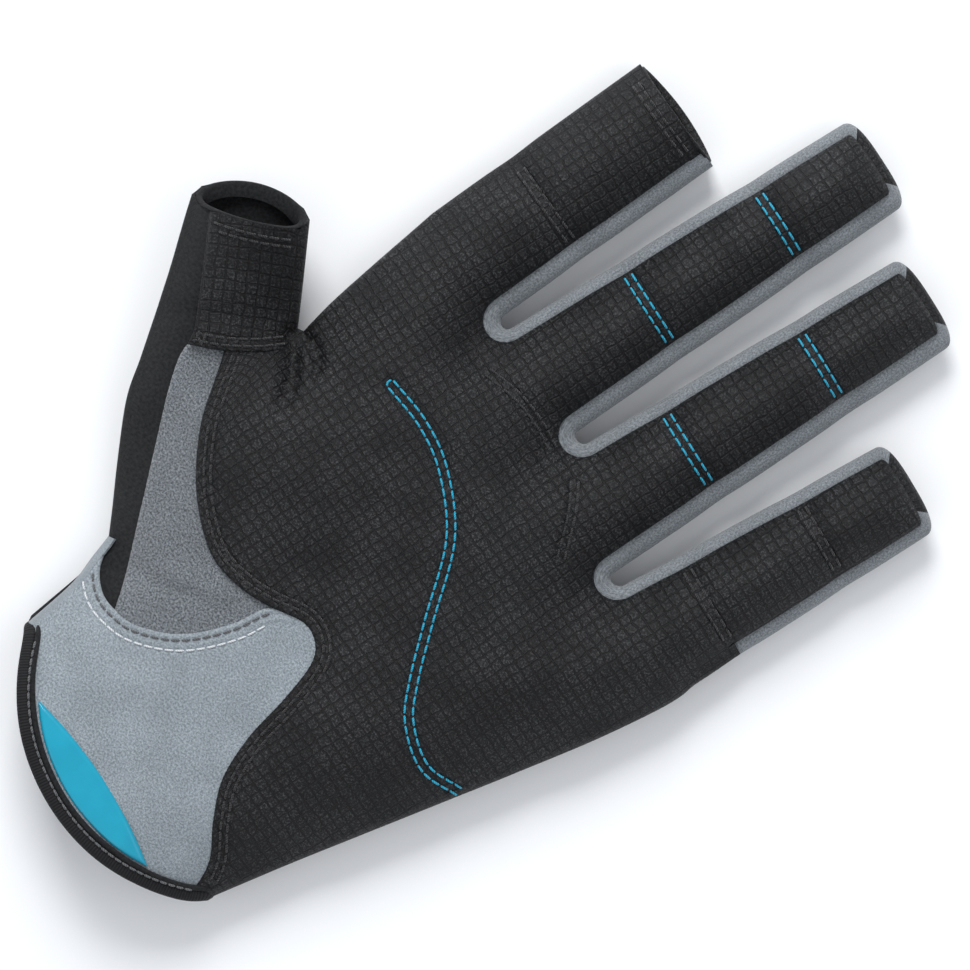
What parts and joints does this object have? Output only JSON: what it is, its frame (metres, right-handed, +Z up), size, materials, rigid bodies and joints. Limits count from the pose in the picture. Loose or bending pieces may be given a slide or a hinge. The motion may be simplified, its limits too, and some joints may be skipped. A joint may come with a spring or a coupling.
{
  "type": "sailing glove",
  "caption": "Left-hand sailing glove with cut-off thumb and index finger, gripping palm, suede heel and side strips, hinged fingers and a hook-and-loop wrist strap.",
  "frame": {"origin": "on the table that the glove's back lies on, under the middle finger's base, on the flat outer face of the back panel", "axes": "+Z up out of the palm, +Y along the middle finger to its tip, +X towards the little finger"},
  "size_m": [0.1453, 0.2176, 0.0288],
  "materials": {
    "grip_fabric": "matt black palm fabric with an embossed grid",
    "lining": "matt black lining knit",
    "suede": "light grey brushed synthetic suede",
    "gusset_suede": "mid grey brushed synthetic suede",
    "knit": "black four-way stretch knit",
    "stretch_cuff": "dark grey ribbed stretch knit",
    "fourchette_suede": "grey brushed synthetic suede",
    "binding": "black woven binding tape",
    "gloss_patch": "glossy teal film",
    "tape": "dark hook-and-loop tape",
    "thread": "teal polyester sewing thread",
    "rubber_tab": "matt black moulded rubber"
  },
  "bodies": {
    "hand": {"palm_panel": "grip_fabric", "palm_reinforcement": "lining", "heel_panel": "suede", "thumb_gusset": "gusset_suede", "back_panel": "knit", "wrist_back_panel": "stretch_cuff", "side_walls": "knit", "index_middle_fourchette": "fourchette_suede", "middle_ring_fourchette": "fourchette_suede", "ring_little_fourchette": "fourchette_suede", "wrist_binding": "binding", "wrist_patch": "gloss_patch", "loop_tape": "tape", "palm_stitching": "thread"},
    "index_proximal": {"index_proximal_palm": "grip_fabric", "index_proximal_back": "knit", "index_proximal_sides": "fourchette_suede"},
    "index_distal": {"index_distal_palm": "grip_fabric", "index_distal_back": "knit", "index_distal_sides": "fourchette_suede", "index_hem": "lining"},
    "middle_proximal": {"middle_proximal_palm": "grip_fabric", "middle_proximal_back": "knit", "middle_proximal_sides": "fourchette_suede"},
    "middle_medial": {"middle_medial_palm": "grip_fabric", "middle_medial_back": "knit", "middle_medial_sides": "fourchette_suede"},
    "middle_distal": {"middle_distal_palm": "grip_fabric", "middle_distal_back": "knit", "middle_distal_sides": "fourchette_suede", "middle_tip": "grip_fabric"},
    "ring_proximal": {"ring_proximal_palm": "grip_fabric", "ring_proximal_back": "knit", "ring_proximal_sides": "fourchette_suede"},
    "ring_medial": {"ring_medial_palm": "grip_fabric", "ring_medial_back": "knit", "ring_medial_sides": "fourchette_suede"},
    "ring_distal": {"ring_distal_palm": "grip_fabric", "ring_distal_back": "knit", "ring_distal_sides": "fourchette_suede", "ring_tip": "grip_fabric"},
    "little_proximal": {"little_proximal_palm": "grip_fabric", "little_proximal_back": "knit", "little_proximal_sides": "fourchette_suede"},
    "little_medial": {"little_medial_palm": "grip_fabric", "little_medial_back": "knit", "little_medial_sides": "fourchette_suede"},
    "little_distal": {"little_distal_palm": "grip_fabric", "little_distal_back": "knit", "little_distal_sides": "fourchette_suede", "little_tip": "grip_fabric"},
    "thumb_base": {"thumb_web_wing": "grip_fabric", "thumb_gusset_wing": "gusset_suede", "thumb_outer_panel": "knit"},
    "thumb_tip": {"thumb_tip_panel": "grip_fabric", "thumb_tip_outer": "knit", "thumb_hem": "lining"},
    "strap": {"wrist_strap": "binding", "hook_tape": "tape", "pull_tab": "rubber_tab"}
  },
  "joints": [
    {"name": "index_base", "type": "hinge", "parent": "hand", "child": "index_proximal", "pos_m": [-0.02887, 0.005, 0.014], "axis": [0.9994, 0.0349, 0], "range_deg": [0, 70]},
    {"name": "index_flex", "type": "hinge", "parent": "index_proximal", "child": "index_distal", "pos_m": [-0.02947, 0.02199, 0.014], "axis": [0.9994, 0.0349, 0], "range_deg": [0, 90]},
    {"name": "middle_base", "type": "hinge", "parent": "hand", "child": "middle_proximal", "pos_m": [0.00004, 0.005, 0.014], "axis": [1, -0.0087, 0], "range_deg": [0, 70]},
    {"name": "middle_flex", "type": "hinge", "parent": "middle_proximal", "child": "middle_medial", "pos_m": [0.00024, 0.028, 0.014], "axis": [1, -0.0087, 0], "range_deg": [0, 90]},
    {"name": "middle_tip_flex", "type": "hinge", "parent": "middle_medial", "child": "middle_distal", "pos_m": [0.00052, 0.06, 0.014], "axis": [1, -0.0087, 0], "range_deg": [0, 60]},
    {"name": "ring_base", "type": "hinge", "parent": "hand", "child": "ring_proximal", "pos_m": [0.02881, 0.005, 0.014], "axis": [0.9997, -0.0227, 0], "range_deg": [0, 70]},
    {"name": "ring_flex", "type": "hinge", "parent": "ring_proximal", "child": "ring_medial", "pos_m": [0.02912, 0.0185, 0.014], "axis": [0.9997, -0.0227, 0], "range_deg": [0, 90]},
    {"name": "ring_tip_flex", "type": "hinge", "parent": "ring_medial", "child": "ring_distal", "pos_m": [0.02986, 0.05099, 0.014], "axis": [0.9997, -0.0227, 0], "range_deg": [0, 60]},
    {"name": "little_base", "type": "hinge", "parent": "hand", "child": "little_proximal", "pos_m": [0.05766, -0.00551, 0.014], "axis": [0.9986, -0.0523, 0], "range_deg": [0, 70]},
    {"name": "little_flex", "type": "hinge", "parent": "little_proximal", "child": "little_medial", "pos_m": [0.05816, 0.00398, 0.014], "axis": [0.9986, -0.0523, 0], "range_deg": [0, 90]},
    {"name": "little_tip_flex", "type": "hinge", "parent": "little_medial", "child": "little_distal", "pos_m": [0.05957, 0.03094, 0.014], "axis": [0.9986, -0.0523, 0], "range_deg": [0, 60]},
    {"name": "thumb_base", "type": "hinge", "parent": "hand", "child": "thumb_base", "pos_m": [-0.03823, -0.03655, 0.0177], "axis": [-0.2388, 0.9711, 0], "range_deg": [0, 40]},
    {"name": "thumb_flex", "type": "hinge", "parent": "thumb_base", "child": "thumb_tip", "pos_m": [-0.036, -0.036, 0.019], "axis": [0.6561, 0.7547, 0], "range_deg": [0, 45]},
    {"name": "strap_peel", "type": "hinge", "parent": "hand", "child": "strap", "pos_m": [-0.0203, -0.108, 0.0013], "axis": [0, 1, 0], "range_deg": [0, 180]}
  ]
}
